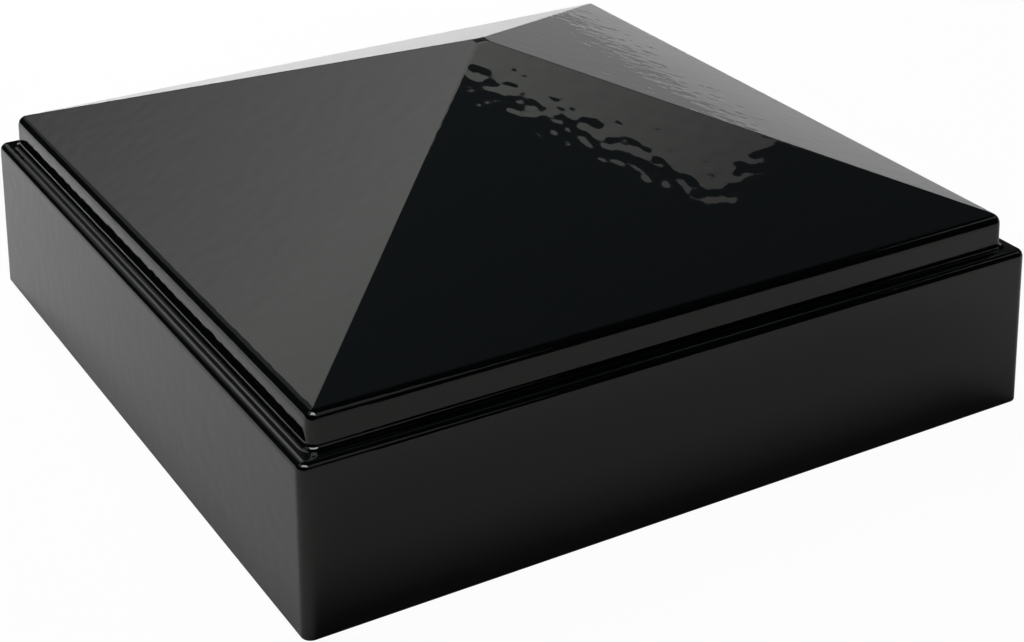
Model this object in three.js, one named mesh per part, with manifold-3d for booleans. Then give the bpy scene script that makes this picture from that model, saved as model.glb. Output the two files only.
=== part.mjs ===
// Fence post cap for a square post: a one-piece cast shell with a stepped pyramid crown, a foam seal
// that the end of the post seats on, and finned rubber grip pads inside the skirt.
// Millimetres, +Z up. The origin is the centre of the rim plane, at the open bottom of the skirt.
import * as THREE from "three";
import { LoftGeometry } from "three/addons/geometries/LoftGeometry.js";
import { mergeVertices } from "three/addons/utils/BufferGeometryUtils.js";
import Module from "manifold-3d";

// Outside of the shell. A "half" is the distance from the centre line to a flat face.
const RIM_HALF = 49;
const SKIRT_HEIGHT = 20.68; // where the skirt's face would meet the ledge
const OUTER_DRAFT = 0.0434; // inward lean of skirt and riser per millimetre of height
const SKIRT_TOP_ROUND = 0.97;
const LEDGE_FALL = 0.06; // the ledge falls outwards by this much per millimetre
const RISER_HALF = 45.87; // where the riser's face would meet the crown's slope
const EAVES_Z = 24.65;
const FOOT_FILLET = 0.83;
const EAVES_ROUND = 1.42;
const APEX_Z = 41.55; // where the four slopes would meet
const APEX_FLAT_HALF = 0.5;
const CORNER_ROUND = 1.2;

// Inside of the shell.
const MOUTH_HALF = 46.3;
const LANDING_HALF = 45.95; // inside of the skirt, up at the landing
const LANDING_Z = 18.3;
const CROWN_HALF = 43.3; // inside of the riser
const CROWN_WALL = 2.5;
const INNER_CORNER_ROUND = 1.5;
const CORNER_STEPS = 4; // facets round each corner

// Cast ribs inside the shell.
const RIB_ROOT = 0.8; // how far a rib's root runs into the wall it grows from
const WEB_THICKNESS = 2;
const WEB_INNER_HALF = 35.5;
const WEB_OFFSETS = [-16, 16];
const HIP_RIB_THICKNESS = 2;
const HIP_RIB_DEPTH = 3.5;
const HIP_FOOT_HALF = 34;
const HIP_FOOT_SLOPE = 3; // run of the slanted end of the hip rib's foot
const BOSS_RADIUS = 5;
const BOSS_BOTTOM_Z = 33.5;
const BOSS_SIDES = 24;
const LOCATING_RIB_WIDTH = 1.2;
const LOCATING_RIB_FACE = 45; // distance of the rib's face from the centre line
const LOCATING_RIB_BOTTOM_Z = 1.6;

// Foam seal under the landing.
const SEAL_GAP = 0.3;
const SEAL_THICKNESS = 3;
const SEAL_OUTER_HALF = 44.7; // clear of the locating ribs, which run up to the landing
const SEAL_INNER_HALF = 36.2;

// Grip pads, two on each wall, drawn as thick as they are once squeezed on the post.
const PAD_OFFSET = 22; // from the middle of the wall to the middle of the pad
const PAD_LENGTH = 18;
const PAD_BOTTOM_Z = 2.6;
const PAD_BACK = 45.65;
const PAD_FACE = 44.65;
const PAD_BASE = 0.45;
const PAD_FINS = 5;
const FIN_PITCH = 2.2;
const FIN_ROOT = 1.3;
const FIN_TIP = 0.5;
const PAD_END_GAP = 0.4;

const WALLS = ["right", "back", "left", "front"]; // quarter turns from +X

const wasm = await Module();
wasm.setup();

// A closed three.js geometry as a manifold solid.
function solid(geometry) {
  const bare = new THREE.BufferGeometry().copy(geometry);
  bare.deleteAttribute("normal");
  bare.deleteAttribute("uv");
  const merged = mergeVertices(bare, 1e-4);
  const mesh = new wasm.Mesh({
    numProp: 3,
    vertProperties: merged.attributes.position.array,
    triVerts: new Uint32Array(merged.index.array),
  });
  return new wasm.Manifold(mesh);
}

// A manifold solid back as a three.js geometry with flat faces.
function geometryOf(manifold) {
  const mesh = manifold.getMesh();
  const indexed = new THREE.BufferGeometry();
  indexed.setAttribute("position", new THREE.BufferAttribute(mesh.vertProperties, 3));
  indexed.setIndex(new THREE.BufferAttribute(mesh.triVerts, 1));
  const flat = indexed.toNonIndexed();
  flat.computeVertexNormals();
  return flat;
}

// Corner points of a square with rounded corners, anticlockwise from +X.
function roundedSquare(half, round) {
  const points = [];
  for (let corner = 0; corner < 4; corner += 1) {
    const turn = (corner * Math.PI) / 2;
    const centre = new THREE.Vector2(half - round, half - round).rotateAround(new THREE.Vector2(), turn);
    for (let step = 0; step <= CORNER_STEPS; step += 1) {
      const angle = turn + (step / CORNER_STEPS) * (Math.PI / 2);
      points.push(new THREE.Vector2(round * Math.cos(angle), round * Math.sin(angle)).add(centre));
    }
  }
  return points;
}

// A body skinned over rounded squares, each given as [half, round, z] from the bottom up.
function stack(levels) {
  const sections = levels.map(([half, round, z]) =>
    roundedSquare(half, round).map((p) => new THREE.Vector3(p.x, p.y, z)),
  );
  return new LoftGeometry(sections, { capStart: true, capEnd: true });
}

// Rounding between two flat flanks that would meet at (half, z), as levels from one flank to the other. The
// flanks face outwards at the angles from and to above the horizontal, in radians. The radius is positive where
// the metal bulges and negative in a hollow.
function rounding(half, z, radius, from, to, steps = 3) {
  const pull = radius / (1 + Math.cos(to - from));
  const centreHalf = half - pull * (Math.cos(from) + Math.cos(to));
  const centreZ = z - pull * (Math.sin(from) + Math.sin(to));
  return Array.from({ length: steps + 1 }, (_, i) => {
    const angle = from + ((to - from) * i) / steps;
    return [centreHalf + radius * Math.cos(angle), CORNER_ROUND, centreZ + radius * Math.sin(angle)];
  });
}

const slope = Math.atan2(APEX_Z - EAVES_Z, RISER_HALF); // the crown's faces above the horizontal
const crownDrop = CROWN_WALL / Math.cos(slope); // wall thickness measured straight down
const undersideZ = (half) => APEX_Z - crownDrop - half * Math.tan(slope);

// The outside of the shell as one solid body.
function shellOutside() {
  const wallFacing = Math.atan(OUTER_DRAFT);
  const ledgeFacing = Math.PI / 2 - Math.atan(LEDGE_FALL);
  const crownFacing = Math.PI / 2 - slope;
  const skirtTopHalf = RIM_HALF - OUTER_DRAFT * SKIRT_HEIGHT;
  const ledgeRise = LEDGE_FALL * (skirtTopHalf - RISER_HALF - OUTER_DRAFT * (EAVES_Z - SKIRT_HEIGHT));
  const footZ = SKIRT_HEIGHT + ledgeRise / (1 - LEDGE_FALL * OUTER_DRAFT);
  const footHalf = RISER_HALF + OUTER_DRAFT * (EAVES_Z - footZ);
  return stack([
    [RIM_HALF, CORNER_ROUND, 0],
    ...rounding(skirtTopHalf, SKIRT_HEIGHT, SKIRT_TOP_ROUND, wallFacing, ledgeFacing),
    ...rounding(footHalf, footZ, -FOOT_FILLET, ledgeFacing, wallFacing),
    ...rounding(RISER_HALF, EAVES_Z, EAVES_ROUND, wallFacing, crownFacing),
    [APEX_FLAT_HALF, APEX_FLAT_HALF / 2, APEX_Z - APEX_FLAT_HALF * Math.tan(slope)],
  ]);
}

// The hollow of the shell: the socket for the post, the landing step and the space under the crown.
function shellHollow() {
  const clear = 1; // how far the cutting body reaches below the rim
  const lean = (MOUTH_HALF - LANDING_HALF) / LANDING_Z;
  return stack([
    [MOUTH_HALF + lean * clear, INNER_CORNER_ROUND, -clear],
    [LANDING_HALF, INNER_CORNER_ROUND, LANDING_Z],
    [CROWN_HALF, INNER_CORNER_ROUND, LANDING_Z],
    [CROWN_HALF, INNER_CORNER_ROUND, undersideZ(CROWN_HALF)],
    [1, 0.5, undersideZ(1)],
  ]);
}

// A plate of the given thickness whose outline lies in the (distance from centre, z) plane, standing
// out from the centre line at the given turn, and moved sideways by offset.
function uprightPlate(outline, thickness, turn, offset = 0) {
  const shape = new THREE.Shape(outline.map(([x, z]) => new THREE.Vector2(x, z)));
  const plate = new THREE.ExtrudeGeometry(shape, { depth: thickness, bevelEnabled: false });
  plate.translate(0, 0, -thickness / 2 - offset);
  plate.rotateX(Math.PI / 2);
  plate.rotateZ(turn);
  return plate;
}

// Webs that hold the seal from behind: their lower edges carry the landing plane inwards.
function sealWeb(turn, offset) {
  const outer = CROWN_HALF + RIB_ROOT;
  return uprightPlate(
    [
      [WEB_INNER_HALF, LANDING_Z],
      [outer, LANDING_Z],
      [outer, undersideZ(outer) + RIB_ROOT],
      [WEB_INNER_HALF, undersideZ(WEB_INNER_HALF) + RIB_ROOT],
    ],
    WEB_THICKNESS,
    turn,
    offset,
  );
}

// Stiffening rib under one hip, from a foot at the corner up to the boss under the apex.
function hipRib(turn) {
  const diagonal = Math.SQRT2;
  const outer = CROWN_HALF * diagonal;
  const onUnderside = (distance) => undersideZ(distance / diagonal);
  const foot = HIP_FOOT_HALF * diagonal;
  const footTop = foot - HIP_FOOT_SLOPE;
  const inner = BOSS_RADIUS / 2;
  return uprightPlate(
    [
      [foot, LANDING_Z],
      [outer, LANDING_Z],
      [outer, onUnderside(outer) + RIB_ROOT],
      [inner, onUnderside(inner) + RIB_ROOT],
      [inner, onUnderside(inner) - HIP_RIB_DEPTH],
      [footTop, onUnderside(footTop) - HIP_RIB_DEPTH],
    ],
    HIP_RIB_THICKNESS,
    turn,
  );
}

// Round boss under the apex, where the hip ribs meet.
function apexBoss() {
  const top = undersideZ(0);
  const height = top - BOSS_BOTTOM_Z;
  const boss = new THREE.CylinderGeometry(BOSS_RADIUS, BOSS_RADIUS, height, BOSS_SIDES);
  boss.rotateX(Math.PI / 2);
  boss.translate(0, 0, BOSS_BOTTOM_Z + height / 2);
  return boss;
}

// Upright rib on the inside of the skirt, beside a grip pad.
function locatingRib(turn, offset) {
  const outer = LANDING_HALF + RIB_ROOT;
  return uprightPlate(
    [
      [LOCATING_RIB_FACE, LOCATING_RIB_BOTTOM_Z + (LANDING_HALF - LOCATING_RIB_FACE)],
      [outer, LOCATING_RIB_BOTTOM_Z - RIB_ROOT],
      [outer, LANDING_Z + RIB_ROOT],
      [LOCATING_RIB_FACE, LANDING_Z + RIB_ROOT],
    ],
    LOCATING_RIB_WIDTH,
    turn,
    offset,
  );
}

function capShell() {
  let shell = solid(shellOutside()).subtract(solid(shellHollow())).add(solid(apexBoss()));
  const ribOffset = PAD_LENGTH / 2 + PAD_END_GAP + LOCATING_RIB_WIDTH / 2;
  WALLS.forEach((_, quarter) => {
    const turn = (quarter * Math.PI) / 2;
    shell = shell.add(solid(hipRib(turn + Math.PI / 4)));
    for (const offset of WEB_OFFSETS) {
      shell = shell.add(solid(sealWeb(turn, offset)));
    }
    for (const pad of [-PAD_OFFSET, PAD_OFFSET]) {
      for (const side of [-ribOffset, ribOffset]) {
        shell = shell.add(solid(locatingRib(turn, pad + side)));
      }
    }
  });
  return geometryOf(shell);
}

// Die-cut square ring of closed-cell foam.
function seatSeal() {
  const outline = new THREE.Shape(roundedSquare(SEAL_OUTER_HALF, INNER_CORNER_ROUND));
  outline.holes.push(new THREE.Path(roundedSquare(SEAL_INNER_HALF, INNER_CORNER_ROUND).reverse()));
  const ring = new THREE.ExtrudeGeometry(outline, { depth: SEAL_THICKNESS, bevelEnabled: false });
  ring.translate(0, 0, LANDING_Z - SEAL_GAP - SEAL_THICKNESS);
  return ring;
}

// One rubber pad: a thin back with blunt fins that run level along the wall.
function gripPad(turn, offset) {
  const outline = [[PAD_BACK, 0]];
  const height = PAD_FINS * FIN_PITCH;
  outline.push([PAD_BACK, height]);
  for (let fin = PAD_FINS - 1; fin >= 0; fin -= 1) {
    const middle = (fin + 0.5) * FIN_PITCH;
    outline.push([PAD_BACK - PAD_BASE, middle + FIN_ROOT / 2]);
    outline.push([PAD_FACE, middle + FIN_TIP / 2]);
    outline.push([PAD_FACE, middle - FIN_TIP / 2]);
    outline.push([PAD_BACK - PAD_BASE, middle - FIN_ROOT / 2]);
  }
  // the two square ends of the back
  outline.splice(2, 0, [PAD_BACK - PAD_BASE, height]);
  outline.push([PAD_BACK - PAD_BASE, 0]);
  const pad = uprightPlate(outline, PAD_LENGTH, turn, offset);
  pad.translate(0, 0, PAD_BOTTOM_Z);
  return pad;
}

const gloss = { color: 0x0c0e0f, roughness: 0.18, metalness: 0 };
const foam = { color: 0x2b2c2d, roughness: 0.95, metalness: 0 };
const rubber = { color: 0x191a1a, roughness: 0.8, metalness: 0 };

function named(name, geometry, look) {
  const mesh = new THREE.Mesh(geometry, new THREE.MeshStandardMaterial(look));
  mesh.name = name;
  return mesh;
}

const group = new THREE.Group();
group.add(named("cap_shell", capShell(), gloss));
group.add(named("seat_seal", seatSeal(), foam));
WALLS.forEach((wall, quarter) => {
  [-PAD_OFFSET, PAD_OFFSET].forEach((offset, i) => {
    group.add(named(`grip_pad_${wall}_${i + 1}`, gripPad((quarter * Math.PI) / 2, offset), rubber));
  });
});

export default group;
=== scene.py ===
# Gloss black cap for a square fence post: the coated casting, its foam seal and its rubber grip pads.
import math

import bmesh
import bpy
import numpy as np
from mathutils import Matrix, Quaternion, Vector


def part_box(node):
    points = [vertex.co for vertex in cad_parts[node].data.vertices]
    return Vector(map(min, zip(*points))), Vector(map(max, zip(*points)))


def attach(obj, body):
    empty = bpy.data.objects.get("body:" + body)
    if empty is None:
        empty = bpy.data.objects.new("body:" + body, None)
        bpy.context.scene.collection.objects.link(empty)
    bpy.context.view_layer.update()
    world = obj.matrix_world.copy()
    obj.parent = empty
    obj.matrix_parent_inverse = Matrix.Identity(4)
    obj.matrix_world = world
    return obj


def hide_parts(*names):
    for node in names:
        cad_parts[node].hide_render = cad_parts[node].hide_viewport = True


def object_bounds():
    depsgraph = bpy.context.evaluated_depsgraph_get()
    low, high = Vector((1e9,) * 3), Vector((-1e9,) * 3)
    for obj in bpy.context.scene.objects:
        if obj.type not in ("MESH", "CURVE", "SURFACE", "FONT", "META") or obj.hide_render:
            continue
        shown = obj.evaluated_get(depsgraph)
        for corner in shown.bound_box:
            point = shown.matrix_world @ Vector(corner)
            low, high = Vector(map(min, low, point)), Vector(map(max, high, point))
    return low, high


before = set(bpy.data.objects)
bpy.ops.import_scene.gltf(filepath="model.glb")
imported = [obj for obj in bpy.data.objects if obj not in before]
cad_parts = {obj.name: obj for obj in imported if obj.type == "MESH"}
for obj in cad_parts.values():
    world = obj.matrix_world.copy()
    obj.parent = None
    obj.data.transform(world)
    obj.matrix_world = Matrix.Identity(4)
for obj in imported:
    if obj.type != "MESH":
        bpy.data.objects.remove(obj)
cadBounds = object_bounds()
mm = 0.001
print("frame loaded:", ", ".join(sorted(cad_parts)))


# Lowest and highest corner of a CAD node, in millimetres.
def boxOf(node):
    return [np.array(corner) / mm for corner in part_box(node)]


# ---- shared mesh work ----

# Points in millimetres and faces as one object in metres. Doubles on poles and shared borders are merged
# first, and then the faces of the closed shape are turned outwards.
def makePiece(name, points, faces):
    mesh = bpy.data.meshes.new(name)
    mesh.from_pydata((np.asarray(points) * mm).tolist(), [], faces)
    work = bmesh.new()
    work.from_mesh(mesh)
    bmesh.ops.remove_doubles(work, verts=work.verts, dist=1e-4 * mm)
    bmesh.ops.dissolve_degenerate(work, edges=work.edges, dist=1e-5 * mm)
    bmesh.ops.recalc_face_normals(work, faces=work.faces)
    work.to_mesh(mesh)
    work.free()
    mesh.shade_smooth()
    piece = bpy.data.objects.new(name, mesh)
    bpy.context.scene.collection.objects.link(piece)
    return piece


# The quads between neighbouring rows and columns of a grid of point numbers.
def gridFaces(number):
    corners = [number[:-1, :-1], number[1:, :-1], number[1:, 1:], number[:-1, 1:]]
    return np.stack(corners, axis=-1).reshape(-1, 4).tolist()


# x, y = a square of half-width h whose corners are arcs of radius c, one row of points for each (h, c, z).
# A quarter of it is ((h - c) + c cos a, s (h - c) + c sin a), with s along the side and a round the corner,
# and the other three are that quarter turned. Points crowd towards the corners, because s is a sine.
def squareRings(half, z, corner, sideSteps, cornerSteps):
    side = np.sin(np.linspace(-1, 1, sideSteps + 1)[:-1] * math.pi / 2)
    s = np.concatenate([side, np.ones(cornerSteps)])
    a = np.concatenate([np.zeros(sideSteps), np.linspace(0, math.pi / 2, cornerSteps + 1)[:-1]])
    h, z, c = (np.asarray(v, float)[:, None] for v in (half, z, corner))
    x = (h - c) + c * np.cos(a)
    y = s * (h - c) + c * np.sin(a)
    turned = [(x, y), (-y, x), (-x, -y), (y, -x)]
    x, y = (np.concatenate([t[i] for t in turned], axis=1) for i in (0, 1))
    return np.stack([x, y, z + 0 * x], axis=-1)


# Rings joined row to row, and round each row. A loop of rows is joined last to first as well.
def ringFaces(rows, columns, loop=False):
    number = np.arange(rows * columns).reshape(rows, columns)
    number = np.concatenate([number, number[:, :1]], axis=1)
    if loop:
        number = np.concatenate([number, number[:1]], axis=0)
    return gridFaces(number)


# An arc of a profile as (half, z, corner) rows, between two angles measured from outwards towards upwards.
# The corner radius grows with the half-width, so that the rounding keeps its size round the corners.
def arc(centreHalf, centreZ, radius, start, end, steps, corner):
    t = np.radians(np.linspace(start, end, steps + 1))
    half = centreHalf + radius * np.cos(t)
    return np.stack([half, centreZ + radius * np.sin(t), corner + half - half[0]], axis=-1)


# The arc between two straight flanks that would meet at (half, z) and face outwards at the angles start and
# end. Its centre is the meeting point less r (n1 + n2) / (1 + n1.n2), and r is negative in a hollow.
def rounding(half, z, radius, start, end, steps, corner):
    a, b = math.radians(start), math.radians(end)
    pull = radius / (1 + math.cos(a - b))
    return arc(half - pull * (math.cos(a) + math.cos(b)), z - pull * (math.sin(a) + math.sin(b)), radius,
               start, end, steps, corner)


# The rows between two places of the profile, without the two themselves.
def straight(a, b, steps):
    t = np.linspace(0, 1, steps + 1)[1:-1, None]
    return (1 - t) * a + t * b


# ---- the casting ----

cadHigh = np.array(cadBounds[1]) / mm
casting = {
    "rimHalf": cadHigh[0],
    "rimEdge": 0.25,
    "skirtHeight": 20.68,
    "outerDraft": 0.0434,  # inward lean of skirt and riser per millimetre of height
    "skirtTopRound": 0.97,
    "ledgeFall": 0.06,
    "riserHalf": 45.87,
    "eavesZ": 24.65,
    "footFillet": 0.83,
    "eavesRound": 1.42,
    "apexZ": 41.55,
    "apexRound": 2.9,
    "cornerRound": 1.2,
    "riserCorner": 1.1,
    "mouthHalf": 46.3,
    "landingHalf": 45.95,
    "landingZ": 18.3,
    "landingFillet": 0.8,
    "crownHalf": 43.3,
    "crownWall": 2.5,
    "innerCorner": 1.5,
    "innerRound": 1.2,
    "sideSteps": 28,
    "cornerSteps": 8,
    "supportGap": 0.15,
    "hipShare": 0.6,  # most of the half-width that a corner radius may take, near the apex
    "creaseDegrees": 38,
}
slope = math.atan2(casting["apexZ"] - casting["eavesZ"], casting["riserHalf"])
undersideTop = casting["apexZ"] - casting["crownWall"] / math.cos(slope)


# Height of the crown's flat underside at a distance from the centre line.
def undersideZ(half):
    return undersideTop - np.asarray(half) * math.tan(slope)


# The profile of the casting in one line of (half, z, corner) rows: from the apex down the outside, round the
# rim and up the inside. Every rounding is an arc that meets both its neighbours at a tangent. Near the apex
# the hips' corner radius shrinks with the half-width, down to nothing.
def castingProfile(p):
    fall, edge, inner = p["ledgeFall"], p["rimEdge"], p["innerCorner"]
    wall = math.degrees(math.atan(p["outerDraft"]))
    ledge = 90 - math.degrees(math.atan(fall))
    crown = 90 - math.degrees(slope)
    skirtHalf = p["rimHalf"] - p["outerDraft"] * p["skirtHeight"]
    rise = fall * (skirtHalf - p["riserHalf"] - p["outerDraft"] * (p["eavesZ"] - p["skirtHeight"]))
    footZ = p["skirtHeight"] + rise / (1 - fall * p["outerDraft"])
    footHalf = p["riserHalf"] + p["outerDraft"] * (p["eavesZ"] - footZ)
    lean = math.degrees(math.atan((p["mouthHalf"] - p["landingHalf"]) / p["landingZ"]))
    apexDrop = p["apexRound"] / math.cos(slope)
    eavesInset = p["eavesRound"] * (math.cos(math.radians(wall)) - math.cos(math.radians(crown)))
    eavesCorner = p["riserCorner"] - eavesInset

    apex = arc(0, p["apexZ"] - apexDrop, p["apexRound"], 90, crown, 6, 0)
    apex[:, 2] = np.minimum(apex[:, 2], eavesCorner)
    eaves = rounding(p["riserHalf"], p["eavesZ"], p["eavesRound"], crown, wall, 12, eavesCorner)
    foot = rounding(footHalf, footZ, -p["footFillet"], wall, ledge, 8, p["riserCorner"])
    skirtRound = rounding(skirtHalf, p["skirtHeight"], p["skirtTopRound"], ledge, wall, 10,
                          p["cornerRound"] - p["skirtTopRound"] + 0.04)
    rimOuter = rounding(p["rimHalf"], 0, edge, wall, -90, 6, p["cornerRound"])
    rimInner = rounding(p["mouthHalf"], 0, edge, 270, 180 - lean, 6, inner)
    fillet = p["landingFillet"]
    landing = arc(p["landingHalf"] - fillet, p["landingZ"] - fillet, fillet, 0, 90, 6, inner)
    lip = arc(p["crownHalf"] + edge, p["landingZ"] + edge, edge, 270, 180, 5, inner)
    under = rounding(p["crownHalf"], undersideZ(p["crownHalf"]), p["innerRound"], 0, crown, 6, inner)
    vault = arc(0, undersideTop - apexDrop, p["apexRound"], crown, 90, 5, 0)

    curves = [apex, eaves, foot, skirtRound, rimOuter, rimInner, landing, lip, under, vault]
    between = [24, 3, 3, 9, 3, 8, 3, 4, 14]
    rows = [curves[0]]
    for curve, steps in zip(curves[1:], between):
        last, run = rows[-1][-1], curve[0] - rows[-1][-1]
        # A row close to each arc keeps the flank between them flat.
        close = min(p["supportGap"] / np.hypot(run[0], run[1]), 0.2) * run
        rows += [[last + close], straight(last, curve[0], steps), [curve[0] - close], curve]
    profile = np.concatenate(rows)
    profile[:, 2] = np.clip(profile[:, 2], 0, p["hipShare"] * profile[:, 0])
    return profile


def castingShell(p):
    profile = castingProfile(p)
    rings = squareRings(*profile.T, p["sideSteps"], p["cornerSteps"])
    return makePiece("cap_casting", rings.reshape(-1, 3), ringFaces(*rings.shape[:2]))


# How much a rib thickens at distance d from the wall that it grows from: a fillet of radius r, which is
# r - sqrt(r2 - (r - d)2).
def rootFlare(d, r):
    near = r - np.clip(d, 0, r)
    return r - np.sqrt(r * r - near * near)


# How a free border rounds off: 0 on the border and 1 at distance r, along a quarter circle.
def borderRound(d, r):
    near = np.clip(1 - d / r, 0, 1)
    return np.sqrt(1 - near * near)


# Steps from 0 to 1 that crowd at both ends: (1 - cos pi t) / 2.
def crowded(steps):
    return (1 - np.cos(np.linspace(0, math.pi, steps + 1))) / 2


# Two sheets over one grid, closed round their border into one solid.
def closedPair(name, front, back):
    rows, columns = front.shape[:2]
    number = np.arange(rows * columns).reshape(rows, columns)
    border = np.concatenate([number[0, :-1], number[:-1, -1], number[-1, :0:-1], number[:0:-1, 0]])
    a, b = border, np.roll(border, -1)
    behind = rows * columns
    faces = gridFaces(number) + gridFaces(number + behind)
    faces += np.stack([a, b, b + behind, a + behind], axis=-1).tolist()
    return makePiece(name, np.concatenate([front.reshape(-1, 3), back.reshape(-1, 3)]), faces)


# A cast rib, as a plate in the upright plane through the centre line that is turned and moved sideways. root
# and edge are its two long borders, as (out, z) points for the same steps, and a point of the plate is
# root + q (edge - root). Its faces are w either side of the plane: w is half the thickness, plus draft times
# the distance to the free edge, plus a fillet at each wall it grows from, times the rounding of each free
# border.
def castRib(name, rib, root, edge, turn, offset, freeStart=False):
    q = crowded(rib["steps"])[None, :]
    out, z = ((root[:, None, i] + q * (edge - root)[:, None, i]) for i in (0, 1))
    depth = q * np.linalg.norm(edge - root, axis=1)[:, None]
    toEdge = depth[:, -1:] - depth
    run = np.concatenate([[0], np.cumsum(np.linalg.norm(np.diff(edge, axis=0), axis=1))])[:, None]
    w = rib["thickness"] / 2 + rib["draft"] * toEdge + rootFlare(depth - rib["sink"], rib["fillet"])
    if not freeStart:
        w = w + rootFlare(run - rib["sink"], rib["fillet"])
    w = w + rootFlare(run[-1] - run - rib["sink"], rib["fillet"])
    w = w * borderRound(toEdge, rib["round"])
    if freeStart:
        w = w * borderRound(run, rib["round"])
    c, s = math.cos(turn), math.sin(turn)
    sheets = []
    for side in (1, -1):
        across = offset + side * w
        sheets.append(np.stack([out * c - across * s, out * s + across * c, z], axis=-1))
    return closedPair(name, *sheets)


# Evenly mixed points between two (out, z) places, crowded at both ends.
def ribLine(a, b, steps):
    t = crowded(steps)[:, None]
    return (1 - t) * np.array(a, float) + t * np.array(b, float)


hipRib = {"thickness": 1.8, "draft": 0.03, "sink": 0.8, "fillet": 0.9, "round": 0.6, "steps": 14,
          "depth": 3.5, "footHalf": 34, "footRun": 3, "along": 60}
webRib = {"thickness": 1.8, "draft": 0.02, "sink": 0.8, "fillet": 0.8, "round": 0.45, "steps": 16,
          "innerHalf": 35.5, "offsets": (-16, 16), "along": 16}
padRib = {"thickness": 1.1, "draft": 0.1, "sink": 0.6, "fillet": 0.35, "round": 0.3, "steps": 10,
          "face": 45, "bottomZ": 1.6, "gap": 0.4, "along": 30}


# The stiffening rib under a hip: its lower edge follows the slope at a set depth, and turns down into a foot
# that reaches the landing plane. The turn blends the two depths by t2 (3 - 2t).
def addHipRib(name, turn):
    r = hipRib
    outer = casting["crownHalf"] * math.sqrt(2) + 0.2
    foot = r["footHalf"] * math.sqrt(2)
    out = boss["radius"] * 0.5 + crowded(r["along"]) * (outer - boss["radius"] * 0.5)
    top = undersideZ(out / math.sqrt(2))
    rootZ = top + r["sink"]
    drop = top - casting["landingZ"]
    t = np.clip((out - (foot - r["footRun"])) / r["footRun"], 0, 1)
    reach = t * t * (3 - 2 * t)
    edgeZ = top - (r["depth"] * (1 - reach) + drop * reach)
    return castRib(name, r, np.stack([out, rootZ], axis=-1), np.stack([out, edgeZ], axis=-1), turn, 0)


# A web that carries the landing plane inwards, to hold the seal from behind.
def addWeb(name, turn, offset):
    r = webRib
    outer = casting["crownHalf"] + r["sink"]
    inner = r["innerHalf"]
    rootStart = [inner, undersideZ(inner) + r["sink"]]
    rootEnd = [outer, undersideZ(outer) + r["sink"]]
    root = ribLine(rootStart, rootEnd, r["along"])
    edge = ribLine([inner, casting["landingZ"]], [outer, casting["landingZ"]], r["along"])
    return castRib(name, r, root, edge, turn, offset, freeStart=True)


# A locating rib on the inside of the skirt, beside a grip pad. Its lower end is chamfered to lead the post
# in.
def addPadRib(name, turn, offset):
    r = padRib
    wall = casting["landingHalf"] + r["sink"]
    top = casting["landingZ"] + 0.4
    root = ribLine([wall, r["bottomZ"] - r["sink"]], [wall, top], r["along"])
    chamferTop = r["bottomZ"] + casting["landingHalf"] - r["face"]
    edge = ribLine([r["face"], chamferTop], [r["face"], top], r["along"])
    return castRib(name, r, root, edge, turn, offset, freeStart=True)


# The boss under the apex: rings of radius R(z) from inside the crown down, with a fillet at the root, a
# rounded edge and a shallow dish in the middle where the ejector pin stood.
boss = {"radius": 5.0, "bottomZ": 33.5, "round": 0.6, "fillet": 1.2, "dish": 2.2, "dishDepth": 0.25,
        "around": 12}


def addBoss():
    b = boss
    root = undersideZ(b["radius"] + b["fillet"])
    flare = arc(b["radius"] + b["fillet"], root - b["fillet"] * 0.7, b["fillet"], 90, 180, 7, 0)
    tip = arc(b["radius"] - b["round"], b["bottomZ"] + b["round"], b["round"], 0, -90, 6, 0)
    dish = np.array([[b["dish"], b["bottomZ"], 0], [b["dish"] - 0.15, b["bottomZ"] + b["dishDepth"], 0]])
    top = np.array([[0.001, undersideTop + 0.8, 0], [b["radius"] + b["fillet"] - 0.2, root + 0.5, 0]])
    middle = np.array([[0.001, b["bottomZ"] + b["dishDepth"], 0]])
    rows = np.concatenate([top, flare, straight(flare[-1], tip[0], 3), tip, dish, middle])
    rows[:, 2] = rows[:, 0]
    rings = squareRings(*rows.T, 2, b["around"])
    points, faces = rings.reshape(-1, 3), ringFaces(*rings.shape[:2])
    return makePiece("boss_body", points, faces)


# Joins the ribs to the shell and to each other, and returns the one mesh that results.
def joinInto(shell, bodies):
    for body in bodies:
        joint = shell.modifiers.new(body.name, "BOOLEAN")
        joint.operation = "UNION"
        joint.solver = "MANIFOLD"
        joint.object = body
    view = bpy.context.evaluated_depsgraph_get()
    joined = bpy.data.meshes.new_from_object(shell.evaluated_get(view))
    shell.modifiers.clear()
    shell.data = joined
    for body in bodies:
        bpy.data.objects.remove(body)


# How well the powder reached a point: 1 all over the outside, and less on the inside with height from the
# open mouth and towards the corners, where a charged gun throws little.
def coatReach(points):
    half = np.abs(points[:, :2]).max(axis=1)
    corner = (np.abs(points[:, :2]).min(axis=1) / np.maximum(half, 1)) ** 4
    z = points[:, 2]
    mouth = casting["mouthHalf"] + 0.2
    crown = casting["crownHalf"] + 0.1
    low = (z < casting["landingZ"] + 0.05) & (half < mouth) & (z > 0.2)
    high = (z >= casting["landingZ"] - 0.05) & (half < crown) & (z < undersideZ(half) + 0.2)
    depth = np.clip(z / casting["landingZ"], 0, 1)
    return np.where(low | high, 0.75 - 0.42 * depth - 0.16 * corner * depth, 1.0)


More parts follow.
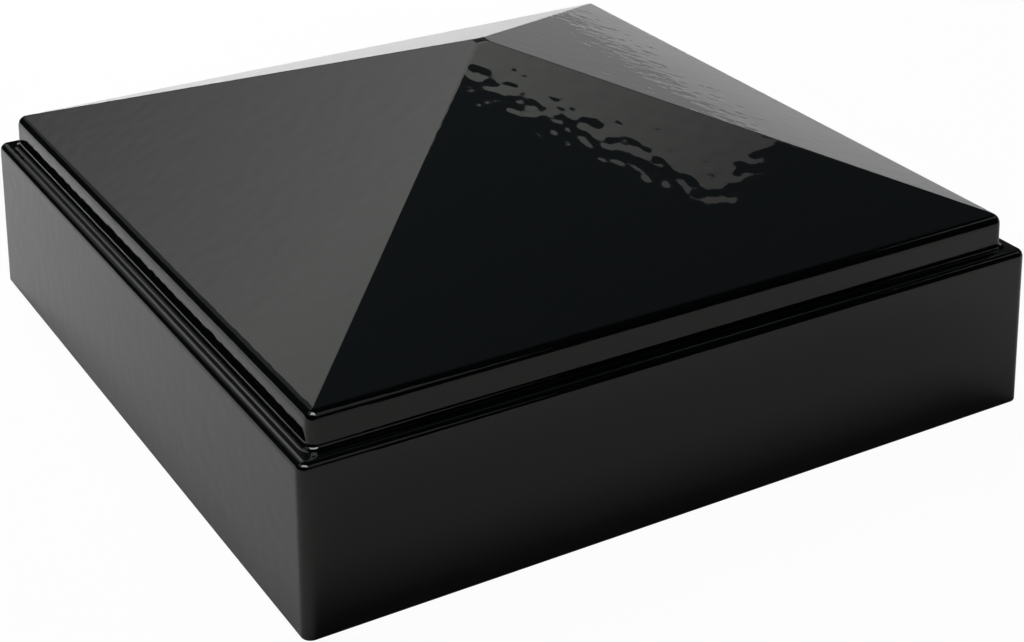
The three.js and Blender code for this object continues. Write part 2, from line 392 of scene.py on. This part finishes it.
def buildCasting():
    shell = castingShell(casting)
    padBox = boxOf("grip_pad_right_1")
    padMiddle = abs(padBox[0][1] + padBox[1][1]) / 2
    padHalf = (padBox[1][1] - padBox[0][1]) / 2
    beside = padHalf + padRib["gap"] + 0.6
    bodies = [addBoss()]
    for quarter in range(4):
        turn = quarter * math.pi / 2
        bodies.append(addHipRib(f"hip_body_{quarter}", turn + math.pi / 4))
        for side in webRib["offsets"]:
            bodies.append(addWeb(f"web_body_{quarter}_{side}", turn, side))
        for middle in (-padMiddle, padMiddle):
            for side in (-beside, beside):
                bodies.append(addPadRib(f"rib_body_{quarter}_{middle + side:.0f}", turn, middle + side))
    joinInto(shell, bodies)
    mesh = shell.data
    mesh.shade_smooth()
    mesh.set_sharp_from_angle(angle=math.radians(casting["creaseDegrees"]))
    points = np.empty(len(mesh.vertices) * 3, np.float32)
    mesh.vertices.foreach_get("co", points)
    reach = mesh.attributes.new("coatReach", "FLOAT", "POINT")
    reach.data.foreach_set("value", coatReach(points.reshape(-1, 3) / mm).astype(np.float32))
    even = shell.modifiers.new("even faces", "WEIGHTED_NORMAL")
    even.keep_sharp = True
    even.weight = 50
    return shell


capCasting = buildCasting()
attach(capCasting, "root")
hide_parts("cap_shell")
print("casting:", len(capCasting.data.polygons), "faces")


# ---- the foam seal ----

sealLow, sealHigh = boxOf("seat_seal")
seal = {
    "outerHalf": sealHigh[0],
    "innerHalf": 36.2,
    "cornerRound": 1.5,
    "cutRound": 0.35,
    "cutBow": 0.12,  # how far the cut sides bow in between the two skins
    "swell": 0.025,  # slow waves in the skins
    "pinch": 0.02,
    "sideSteps": 64,
    "cornerSteps": 8,
}


# A die-cut square ring: a closed (half, z) loop carried round the rounded square. Its top and bottom are the
# skins of the sheet, its sides bow in by cutBow sin(pi t), and its four edges are small arcs.
def buildSeal():
    p = seal
    low, high, r = sealLow[2], sealHigh[2], p["cutRound"]
    out, inn = p["outerHalf"] - r, p["innerHalf"] + r
    edges = [
        arc(out, high - r, r, 90, 0, 4, 0),
        arc(out, low + r, r, 0, -90, 4, 0),
        arc(inn, low + r, r, 270, 180, 4, 0),
        arc(inn, high - r, r, 180, 90, 4, 0),
    ]
    steps = (6, 10, 6, 10)
    rows = []
    for i, edge in enumerate(edges):
        nextEdge = edges[(i + 1) % 4]
        middle = straight(edge[-1], nextEdge[0], steps[i])
        t = np.linspace(0, 1, steps[i] + 1)[1:-1]
        bow = p["cutBow"] * np.sin(math.pi * t) * {0: -1, 2: 1}.get(i, 0)
        middle[:, 0] += bow
        rows += [edge, middle]
    loop = np.concatenate(rows)
    loop[:, 2] = p["cornerRound"] + 0 * loop[:, 0]
    rings = squareRings(*loop.T, p["sideSteps"], p["cornerSteps"])
    along = np.arctan2(rings[..., 1], rings[..., 0])
    swell = p["swell"] * np.sin(16 * along) * np.sin(7 * along + 1)
    middleZ = (low + high) / 2
    above = np.where(rings[..., 2] > middleZ, 1, -1)
    rings[..., 2] -= swell * above + p["pinch"] * np.sign(rings[..., 2] - middleZ)
    return makePiece("foam_seal", rings.reshape(-1, 3), ringFaces(*rings.shape[:2], loop=True))


foamSeal = buildSeal()
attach(foamSeal, "root")
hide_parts("seat_seal")
print("foam seal:", len(foamSeal.data.polygons), "faces")


# ---- the grip pads ----

pad = {
    "base": 0.45,
    "fins": 5,
    "finRoot": 1.3,
    "finTip": 0.5,
    "tipRound": 0.16,
    "endRound": 0.3,
    "stepsUp": 110,
    "stepsAlong": 26,
}


# How far up a fin each height stands, from 0 to 1: a trapezium wave across the height with softened corners,
# (1 + tanh(2.6 (ramp - 1/2)) / tanh 1.82) / 2.
def finWave(z, low, high):
    pitch = (high - low) / pad["fins"]
    place = np.abs((z - low) / pitch % 1 - 0.5) * pitch
    ramp = (pad["finRoot"] / 2 - place) / ((pad["finRoot"] - pad["finTip"]) / 2)
    ramp = np.clip(ramp, -0.2, 1.2)
    return 0.5 + 0.5 * np.tanh(2.6 * (ramp - 0.5)) / math.tanh(1.82)


# One finned pad on the wall that faces +X turned by quarters, from its CAD box: the back is flat, and the
# front stands out from it by base + fin wave. Both sheets draw together over the last stretch at each border.
def buildPad(wall, quarter, number):
    low, high = boxOf(f"grip_pad_{wall}_{number}")
    turn = quarter * math.pi / 2
    c, s = round(math.cos(turn)), round(math.sin(turn))
    corners = np.array([[low[0] * c + low[1] * s, low[1] * c - low[0] * s],
                        [high[0] * c + high[1] * s, high[1] * c - high[0] * s]])
    face, back = sorted(corners[:, 0])
    start, end = sorted(corners[:, 1])
    z = np.linspace(low[2], high[2], pad["stepsUp"] + 1)[:, None]
    y = (start + crowded(pad["stepsAlong"]) * (end - start))[None, :]
    height = back - face
    wave = finWave(z, low[2], high[2])
    proud = pad["base"] + (height - pad["base"]) * np.clip(wave, 0, 1)
    ends = borderRound(np.minimum(y - start, end - y), pad["endRound"])
    skirts = borderRound(np.minimum(z - low[2], high[2] - z), pad["endRound"] * 0.6)
    proud = proud * (0.35 + 0.65 * ends * skirts)
    x = back - proud
    front = np.stack([x, y + 0 * x, z + 0 * x], axis=-1)
    rear = np.stack([back + 0 * x, y + 0 * x, z + 0 * x], axis=-1)
    for sheet in (front, rear):
        outward, along = sheet[..., 0].copy(), sheet[..., 1].copy()
        sheet[..., 0] = outward * c - along * s
        sheet[..., 1] = outward * s + along * c
    piece = closedPair(f"rubber_pad_{wall}_{number}", front, rear)
    piece.data.set_sharp_from_angle(angle=math.radians(50))
    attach(piece, "root")
    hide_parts(f"grip_pad_{wall}_{number}")
    return piece


rubberPads = []
for quarter, wall in enumerate(("right", "back", "left", "front")):
    for number in (1, 2):
        rubberPads.append(buildPad(wall, quarter, number))
print("rubber pads:", len(rubberPads), "of", len(rubberPads[0].data.polygons), "faces")


# ---- materials ----

def newMaterial(name):
    material = bpy.data.materials.new(name)
    material.use_nodes = True
    material.node_tree.nodes.clear()
    return material, material.node_tree.nodes, material.node_tree.links


# Gloss black polyester powder: near-black resin under a clear gloss, with the ripple that the powder keeps as
# it flows. Inside the casting the coat thins out, dulls, and lets the grey metal through in the deep corners.
def powderCoat():
    material, nodes, links = newMaterial("gloss black powder coat")

    rippleFrame = nodes.new("NodeFrame")
    rippleFrame.label = "ripple of the cured powder"
    coatFrame = nodes.new("NodeFrame")
    coatFrame.label = "how thick the coat is"
    finishFrame = nodes.new("NodeFrame")
    finishFrame.label = "resin and metal"

    place = nodes.new("ShaderNodeTexCoord")
    place.label = "place on the cap"
    wide = nodes.new("ShaderNodeTexNoise")
    wide.label = "slow waves in the film"
    peel = nodes.new("ShaderNodeTexNoise")
    peel.label = "orange peel"
    fine = nodes.new("ShaderNodeTexNoise")
    fine.label = "fine grain in the peel"
    wideBump = nodes.new("ShaderNodeBump")
    wideBump.label = "slow waves"
    peelBump = nodes.new("ShaderNodeBump")
    peelBump.label = "peel on the waves"
    fineBump = nodes.new("ShaderNodeBump")
    fineBump.label = "grain on the peel"

    reach = nodes.new("ShaderNodeAttribute")
    reach.label = "how well the powder reached"
    patches = nodes.new("ShaderNodeTexNoise")
    patches.label = "uneven dusting"
    dusted = nodes.new("ShaderNodeMath")
    dusted.label = "reach broken up by the dusting"
    bare = nodes.new("ShaderNodeMapRange")
    bare.label = "bare metal in deep corners"
    dull = nodes.new("ShaderNodeMapRange")
    dull.label = "dull thin coat inside"

    tint = nodes.new("ShaderNodeMix")
    tint.label = "black resin to grey casting"
    roughness = nodes.new("ShaderNodeMix")
    roughness.label = "gloss outside, dry inside"
    shader = nodes.new("ShaderNodeBsdfPrincipled")
    shader.label = "coated casting"
    output = nodes.new("ShaderNodeOutputMaterial")

    for node in (wide, peel, fine, wideBump, peelBump, fineBump):
        node.parent = rippleFrame
    for node in (reach, patches, dusted, bare, dull):
        node.parent = coatFrame
    for node in (tint, roughness, shader):
        node.parent = finishFrame
    layout = [
        (place, -1500, 0), (wide, -1200, 500), (peel, -1200, 250), (fine, -1200, 0),
        (wideBump, -900, 500), (peelBump, -700, 300), (fineBump, -500, 100),
        (reach, -1200, -300), (patches, -1200, -550), (dusted, -900, -400),
        (bare, -700, -300), (dull, -700, -600), (tint, -400, -200), (roughness, -400, -450),
        (shader, 0, 0), (output, 350, 0),
    ]
    for node, x, y in layout:
        node.location = (x, y)

    wide.inputs["Scale"].default_value = 150
    wide.inputs["Detail"].default_value = 0
    wideBump.inputs["Strength"].default_value = 1
    wideBump.inputs["Distance"].default_value = 0.000013
    peel.inputs["Scale"].default_value = 520
    peel.inputs["Detail"].default_value = 0
    peelBump.inputs["Strength"].default_value = 1
    peelBump.inputs["Distance"].default_value = 0.000018
    fine.inputs["Scale"].default_value = 1500
    fine.inputs["Detail"].default_value = 1
    fineBump.inputs["Strength"].default_value = 1
    fineBump.inputs["Distance"].default_value = 0.0000004
    reach.attribute_name = "coatReach"
    patches.inputs["Scale"].default_value = 800
    patches.inputs["Detail"].default_value = 4
    dusted.operation = "MULTIPLY_ADD"
    dusted.inputs[1].default_value = 0.45
    bare.inputs["From Min"].default_value = 0.36
    bare.inputs["From Max"].default_value = 0.24
    dull.inputs["From Min"].default_value = 1.15
    dull.inputs["From Max"].default_value = 0.5
    tint.data_type = "RGBA"
    tint.inputs["A"].default_value = (0.0034, 0.0040, 0.0042, 1)
    tint.inputs["B"].default_value = (0.30, 0.31, 0.32, 1)
    roughness.data_type = "FLOAT"
    roughness.inputs["A"].default_value = 0.02
    roughness.inputs["B"].default_value = 0.5
    shader.inputs["IOR"].default_value = 1.5
    shader.inputs["Specular Tint"].default_value = (0.95, 1.0, 0.92, 1)

    for texture in (wide, peel, fine, patches):
        links.new(place.outputs["Object"], texture.inputs["Vector"])
    links.new(wide.outputs["Fac"], wideBump.inputs["Height"])
    links.new(peel.outputs["Fac"], peelBump.inputs["Height"])
    links.new(fine.outputs["Fac"], fineBump.inputs["Height"])
    links.new(wideBump.outputs["Normal"], peelBump.inputs["Normal"])
    links.new(peelBump.outputs["Normal"], fineBump.inputs["Normal"])
    links.new(patches.outputs["Fac"], dusted.inputs[0])
    links.new(reach.outputs["Fac"], dusted.inputs[2])
    links.new(dusted.outputs["Value"], bare.inputs["Value"])
    links.new(dusted.outputs["Value"], dull.inputs["Value"])
    links.new(bare.outputs["Result"], tint.inputs["Factor"])
    links.new(dull.outputs["Result"], roughness.inputs["Factor"])
    links.new(tint.outputs["Result"], shader.inputs["Base Color"])
    links.new(roughness.outputs["Result"], shader.inputs["Roughness"])
    links.new(bare.outputs["Result"], shader.inputs["Metallic"])
    links.new(fineBump.outputs["Normal"], shader.inputs["Normal"])
    links.new(shader.outputs["BSDF"], output.inputs["Surface"])
    return material


# A soft dark polymer: cell or grain pattern in its height, a slight mottle in its colour and its roughness.
def softPolymer(name, dark, light, cell, cellDepth, grain, grainDepth, roughLow, roughHigh):
    material, nodes, links = newMaterial(name)

    surfaceFrame = nodes.new("NodeFrame")
    surfaceFrame.label = "cells and grain"
    colourFrame = nodes.new("NodeFrame")
    colourFrame.label = "mottled colour"

    place = nodes.new("ShaderNodeTexCoord")
    place.label = "place on the piece"
    cells = nodes.new("ShaderNodeTexVoronoi")
    cells.label = "cells of the surface"
    roughGrain = nodes.new("ShaderNodeTexNoise")
    roughGrain.label = "grain between the cells"
    cellBump = nodes.new("ShaderNodeBump")
    cellBump.label = "open cells"
    grainBump = nodes.new("ShaderNodeBump")
    grainBump.label = "grain on the cells"
    mottle = nodes.new("ShaderNodeTexNoise")
    mottle.label = "bloom and handling marks"
    colour = nodes.new("ShaderNodeMix")
    colour.label = "dark to bloomed"
    roughness = nodes.new("ShaderNodeMapRange")
    roughness.label = "drier where bloomed"
    shader = nodes.new("ShaderNodeBsdfPrincipled")
    shader.label = name
    output = nodes.new("ShaderNodeOutputMaterial")

    for node in (cells, roughGrain, cellBump, grainBump):
        node.parent = surfaceFrame
    for node in (mottle, colour, roughness):
        node.parent = colourFrame
    layout = [
        (place, -1200, 0), (cells, -900, 300), (roughGrain, -900, 50), (cellBump, -650, 300),
        (grainBump, -400, 150), (mottle, -900, -250), (colour, -500, -150), (roughness, -500, -400),
        (shader, 0, 0), (output, 350, 0),
    ]
    for node, x, y in layout:
        node.location = (x, y)

    cells.inputs["Scale"].default_value = 1 / cell
    roughGrain.inputs["Scale"].default_value = 1 / grain
    roughGrain.inputs["Detail"].default_value = 4
    cellBump.inputs["Strength"].default_value = 0.8
    cellBump.inputs["Distance"].default_value = cellDepth
    grainBump.inputs["Strength"].default_value = 0.8
    grainBump.inputs["Distance"].default_value = grainDepth
    mottle.inputs["Scale"].default_value = 160
    mottle.inputs["Detail"].default_value = 5
    colour.data_type = "RGBA"
    colour.inputs["A"].default_value = dark
    colour.inputs["B"].default_value = light
    roughness.inputs["From Min"].default_value = 0.3
    roughness.inputs["From Max"].default_value = 0.7
    roughness.inputs["To Min"].default_value = roughLow
    roughness.inputs["To Max"].default_value = roughHigh

    for texture in (cells, roughGrain, mottle):
        links.new(place.outputs["Object"], texture.inputs["Vector"])
    links.new(cells.outputs["Distance"], cellBump.inputs["Height"])
    links.new(roughGrain.outputs["Fac"], grainBump.inputs["Height"])
    links.new(cellBump.outputs["Normal"], grainBump.inputs["Normal"])
    links.new(mottle.outputs["Fac"], colour.inputs["Factor"])
    links.new(mottle.outputs["Fac"], roughness.inputs["Value"])
    links.new(colour.outputs["Result"], shader.inputs["Base Color"])
    links.new(roughness.outputs["Result"], shader.inputs["Roughness"])
    links.new(grainBump.outputs["Normal"], shader.inputs["Normal"])
    links.new(shader.outputs["BSDF"], output.inputs["Surface"])
    return material


capCasting.data.materials.clear()
capCasting.data.materials.append(powderCoat())
foam = softPolymer("closed-cell foam", (0.018, 0.018, 0.019, 1), (0.045, 0.045, 0.046, 1),
                   cell=0.0005, cellDepth=0.00012, grain=0.0002, grainDepth=0.00003,
                   roughLow=0.8, roughHigh=0.95)
rubber = softPolymer("moulded rubber", (0.010, 0.010, 0.010, 1), (0.022, 0.022, 0.021, 1),
                     cell=0.0003, cellDepth=0.00001, grain=0.00015, grainDepth=0.00001,
                     roughLow=0.5, roughHigh=0.7)
foamSeal.data.materials.append(foam)
for piece in rubberPads:
    piece.data.materials.append(rubber)
print("materials done")


# ---- floor, lights and camera ----

stage = {
    "paperRadius": 0.43,
    "holeHalf": 0.0485,  # under the cap, so that its inside is lit when it is looked at from below
    "paper": 0.85,
    "dark": 0.003,
    "horizon": 0.35,
    "below": 0.64,
}


# A flat sheet between a square hole, at distance h / max(|cos a|, |sin a|), and a circle.
def buildFloor():
    a = np.linspace(0, 2 * math.pi, 97)[:-1]
    hole = stage["holeHalf"] / np.maximum(np.abs(np.cos(a)), np.abs(np.sin(a)))
    rim = stage["paperRadius"] + 0 * a
    points = np.concatenate([np.stack([r * np.cos(a), r * np.sin(a), 0 * a], axis=-1) for r in (hole, rim)])
    number = np.arange(2 * len(a)).reshape(2, -1)
    number = np.concatenate([number, number[:, :1]], axis=1)
    mesh = bpy.data.meshes.new("floor")
    mesh.from_pydata(points.tolist(), [], gridFaces(number))
    floor = bpy.data.objects.new("floor", mesh)
    bpy.context.scene.collection.objects.link(floor)
    return floor


# White paper: it throws the light back into the gloss, is nearly plain white to the eye, and is clear from
# below.
def floorPaper():
    material, nodes, links = newMaterial("floor paper")
    ray = nodes.new("ShaderNodeLightPath")
    ray.label = "seen directly or by reflection"
    lift = nodes.new("ShaderNodeMath")
    lift.label = "how much of the shade is lifted"
    lit = nodes.new("ShaderNodeBsdfDiffuse")
    lit.label = "paper in the light"
    white = nodes.new("ShaderNodeEmission")
    white.label = "paper as the eye takes it"
    paper = nodes.new("ShaderNodeMixShader")
    paper.label = "lift the shade"
    side = nodes.new("ShaderNodeNewGeometry")
    side.label = "upper or lower side"
    clear = nodes.new("ShaderNodeBsdfTransparent")
    clear.label = "nothing from below"
    either = nodes.new("ShaderNodeMixShader")
    either.label = "only the upper side shows"
    output = nodes.new("ShaderNodeOutputMaterial")
    layout = [(ray, -850, 350), (lift, -600, 350), (lit, -600, 100), (white, -600, -100), (paper, -350, 100),
              (side, -350, 350), (clear, -350, -150), (either, -100, 100), (output, 150, 100)]
    for node, x, y in layout:
        node.location = (x, y)
    lit.inputs["Color"].default_value = (stage["paper"], stage["paper"], stage["paper"], 1)
    lift.operation = "MULTIPLY"
    lift.inputs[1].default_value = 0.97
    links.new(ray.outputs["Is Camera Ray"], lift.inputs[0])
    links.new(lift.outputs["Value"], paper.inputs["Fac"])
    links.new(lit.outputs["BSDF"], paper.inputs[1])
    links.new(white.outputs["Emission"], paper.inputs[2])
    links.new(side.outputs["Backfacing"], either.inputs["Fac"])
    links.new(paper.outputs["Shader"], either.inputs[1])
    links.new(clear.outputs["BSDF"], either.inputs[2])
    links.new(either.outputs["Shader"], output.inputs["Surface"])
    return material


# The room: white to the eye, dark in reflections above the floor, and paler the further below the horizon.
def buildRoom():
    world = bpy.data.worlds.new("room")
    world.use_nodes = True
    nodes, links = world.node_tree.nodes, world.node_tree.links
    nodes.clear()
    ray = nodes.new("ShaderNodeLightPath")
    ray.label = "seen directly or by reflection"
    direction = nodes.new("ShaderNodeTexCoord")
    direction.label = "direction"
    split = nodes.new("ShaderNodeSeparateXYZ")
    split.label = "height of the direction"
    above = nodes.new("ShaderNodeMapRange")
    above.label = "dark above the horizon"
    under = nodes.new("ShaderNodeMapRange")
    under.label = "paler further down"
    either = nodes.new("ShaderNodeMath")
    either.label = "above or below"
    seen = nodes.new("ShaderNodeMix")
    seen.label = "white to the eye"
    sky = nodes.new("ShaderNodeBackground")
    sky.label = "room"
    sky.inputs["Color"].default_value = (1, 1, 1, 1)
    output = nodes.new("ShaderNodeOutputWorld")
    layout = [(direction, -1200, 0), (split, -1000, 0), (above, -800, 150), (under, -800, -150),
              (either, -600, 0), (ray, -600, 250), (seen, -400, 0), (sky, -200, 0), (output, 0, 0)]
    for node, x, y in layout:
        node.location = (x, y)
    above.inputs["From Min"].default_value = 0.0
    above.inputs["From Max"].default_value = -0.02
    above.inputs["To Min"].default_value = stage["dark"]
    above.inputs["To Max"].default_value = stage["horizon"]
    under.inputs["From Min"].default_value = -0.12
    under.inputs["From Max"].default_value = -0.3
    under.inputs["To Min"].default_value = 0.0
    under.inputs["To Max"].default_value = stage["below"] - stage["horizon"]
    either.operation = "ADD"
    seen.data_type = "FLOAT"
    seen.inputs["B"].default_value = 1.0
    links.new(direction.outputs["Generated"], split.inputs["Vector"])
    links.new(split.outputs["Z"], above.inputs["Value"])
    links.new(split.outputs["Z"], under.inputs["Value"])
    links.new(above.outputs["Result"], either.inputs[0])
    links.new(under.outputs["Result"], either.inputs[1])
    links.new(either.outputs["Value"], seen.inputs["A"])
    links.new(ray.outputs["Is Camera Ray"], seen.inputs["Factor"])
    links.new(seen.outputs["Result"], sky.inputs["Strength"])
    links.new(sky.outputs["Background"], output.inputs["Surface"])
    bpy.context.scene.world = world


# A soft box as a flat card that faces the cap: azimuth is measured from the front towards the right, and the
# card spans the given azimuths, and the given elevations at its middle, as seen from the cap. Its brightness
# is the product of two even ramps: from foot to top over the elevations in fade, and from start to end across
# the card. A glossOnly card shows in the gloss and doesn't light the floor.
def softBox(name, azimuths, elevations, foot, top, fade=None, start=1.0, end=1.0, colour=(1, 1, 1),
            glossOnly=False, distance=1.6):
    azimuth = math.radians(sum(azimuths) / 2)
    halfWidth = distance * math.tan(math.radians(azimuths[1] - azimuths[0]) / 2)
    heights = [distance * math.tan(math.radians(e)) for e in elevations]
    ramp = [distance * math.tan(math.radians(e)) for e in fade or elevations]
    ahead = Vector((math.sin(azimuth), -math.cos(azimuth), 0))
    across = Vector((math.cos(azimuth), math.sin(azimuth), 0))
    points = [ahead * distance + across * w + Vector((0, 0, h))
              for w, h in ((-halfWidth, heights[0]), (halfWidth, heights[0]),
                           (halfWidth, heights[1]), (-halfWidth, heights[1]))]
    mesh = bpy.data.meshes.new(name)
    mesh.from_pydata(points, [], [[0, 1, 2, 3]])
    card = bpy.data.objects.new(name, mesh)
    bpy.context.scene.collection.objects.link(card)
    card.visible_camera = False
    card.visible_diffuse = not glossOnly
    card.data.materials.append(softBoxLight(name, ramp, (foot, top), across, halfWidth, (start, end), colour))


def softBoxLight(name, ramp, upward, across, halfWidth, sideways, colour):
    material, nodes, links = newMaterial(name)
    place = nodes.new("ShaderNodeTexCoord")
    place.label = "place on the card"
    split = nodes.new("ShaderNodeSeparateXYZ")
    split.label = "height on the card"
    beside = nodes.new("ShaderNodeVectorMath")
    beside.label = "distance across the card"
    fade = nodes.new("ShaderNodeMapRange")
    fade.label = "foot to top"
    sweep = nodes.new("ShaderNodeMapRange")
    sweep.label = "side to side"
    level = nodes.new("ShaderNodeMath")
    level.label = "both ramps"
    light = nodes.new("ShaderNodeEmission")
    light.label = "soft box"
    output = nodes.new("ShaderNodeOutputMaterial")
    layout = [(place, -900, 0), (split, -700, 100), (beside, -700, -150), (fade, -500, 150),
              (sweep, -500, -150), (level, -300, 0), (light, -100, 0), (output, 100, 0)]
    for node, x, y in layout:
        node.location = (x, y)
    beside.operation = "DOT_PRODUCT"
    beside.inputs[1].default_value = across
    fade.inputs["From Min"].default_value = ramp[0]
    fade.inputs["From Max"].default_value = ramp[1]
    fade.inputs["To Min"].default_value = upward[0]
    fade.inputs["To Max"].default_value = upward[1]
    sweep.inputs["From Min"].default_value = -halfWidth
    sweep.inputs["From Max"].default_value = halfWidth
    sweep.inputs["To Min"].default_value = sideways[0]
    sweep.inputs["To Max"].default_value = sideways[1]
    level.operation = "MULTIPLY"
    light.inputs["Color"].default_value = (*colour, 1)
    links.new(place.outputs["Object"], split.inputs["Vector"])
    links.new(place.outputs["Object"], beside.inputs[0])
    links.new(split.outputs["Z"], fade.inputs["Value"])
    links.new(beside.outputs["Value"], sweep.inputs["Value"])
    links.new(fade.outputs["Result"], level.inputs[0])
    links.new(sweep.outputs["Result"], level.inputs[1])
    links.new(level.outputs["Value"], light.inputs["Strength"])
    links.new(light.outputs["Emission"], output.inputs["Surface"])
    return material


# A square lamp that faces the cap. A hidden one lights the floor without showing in the gloss.
def areaLight(name, azimuth, elevation, distance, width, power, hidden=False):
    a, e = math.radians(azimuth), math.radians(elevation)
    back = Vector((math.sin(a) * math.cos(e), -math.cos(a) * math.cos(e), math.sin(e)))
    light = bpy.data.lights.new(name, "AREA")
    light.size = width
    light.energy = power
    lamp = bpy.data.objects.new(name, light)
    lamp.location = back * distance
    lamp.rotation_mode = "QUATERNION"
    lamp.rotation_quaternion = back.to_track_quat("Z", "Y")
    bpy.context.scene.collection.objects.link(lamp)
    lamp.visible_camera = False
    lamp.visible_glossy = not hidden


floor = buildFloor()
floor.data.materials.append(floorPaper())
buildRoom()
softBox("rear right box", (116.7, 159), (42, 54), 0.52, 0.6, start=0.9, end=3.6)
softBox("dim wall", (92, 152), (40, 72), 0.14, 0.14, start=0.3, end=1.15, colour=(0.72, 0.85, 1.0),
        glossOnly=True, distance=1.9)
softBox("rear window", (166, 187), (25, 62), 0.36, 1.09, fade=(25, 36.5))
softBox("window frame", (187, 204), (22, 60), 0.2, 0.26)
softBox("rear wall", (118, 165), (6, 41.5), 0.09, 0.09, start=0.3, end=1.6)
softBox("corner strip", (-80, 4), (45, 66), 8.0, 8.0, glossOnly=True)
softBox("left rear wall", (189, 222), (44, 62), 0.35, 0.8, glossOnly=True, distance=1.5)
softBox("left wall", (236, 284), (34, 60), 0.55, 0.35, glossOnly=True, distance=1.9)
softBox("front right wall", (6, 30), (28, 50), 0.35, 0.45, glossOnly=True)
softBox("right wall", (58, 80), (28, 46), 0.3, 0.5, glossOnly=True)
softBox("front low wall", (-20, 20), (0.6, 9), 0.5, 0.2, glossOnly=True)
softBox("right low wall", (70, 110), (0.6, 9), 0.5, 0.2, glossOnly=True)
areaLight("overhead", 190, 68, 1.6, 0.8, 8, hidden=True)
areaLight("front fill", 0, 55, 1.6, 0.8, 0.9, hidden=True)
areaLight("rear lamp", -150, 34, 0.8, 0.2, 1.6, hidden=True)
areaLight("background lamp", -176, 24, 0.36, 0.1, 0.48, hidden=True)

camera = {
    "place": (-0.11388, -0.20204, 0.12495),
    "yaw": 30.351,
    "pitch": 27.910,
    "roll": 0.186,
    "lens": 69.717,
    "sensor": 36.0,
}


# The camera looks along (sin yaw cos pitch, cos yaw cos pitch, -sin pitch), turned by roll about that line.
def buildCamera():
    yaw, pitch, roll = (math.radians(camera[k]) for k in ("yaw", "pitch", "roll"))
    look = Vector((math.sin(yaw) * math.cos(pitch), math.cos(yaw) * math.cos(pitch), -math.sin(pitch)))
    data = bpy.data.cameras.new("camera")
    data.lens = camera["lens"]
    data.sensor_width = camera["sensor"]
    data.sensor_fit = "HORIZONTAL"
    data.clip_start, data.clip_end = 0.01, 50
    view = bpy.data.objects.new("camera", data)
    view.location = camera["place"]
    view.rotation_mode = "QUATERNION"
    view.rotation_quaternion = Quaternion(look, roll) @ look.to_track_quat("-Z", "Y")
    bpy.context.scene.collection.objects.link(view)
    bpy.context.scene.camera = view


buildCamera()
bpy.context.scene.view_settings.view_transform = "Standard"
print("stage done")

bpy.context.view_layer.update()
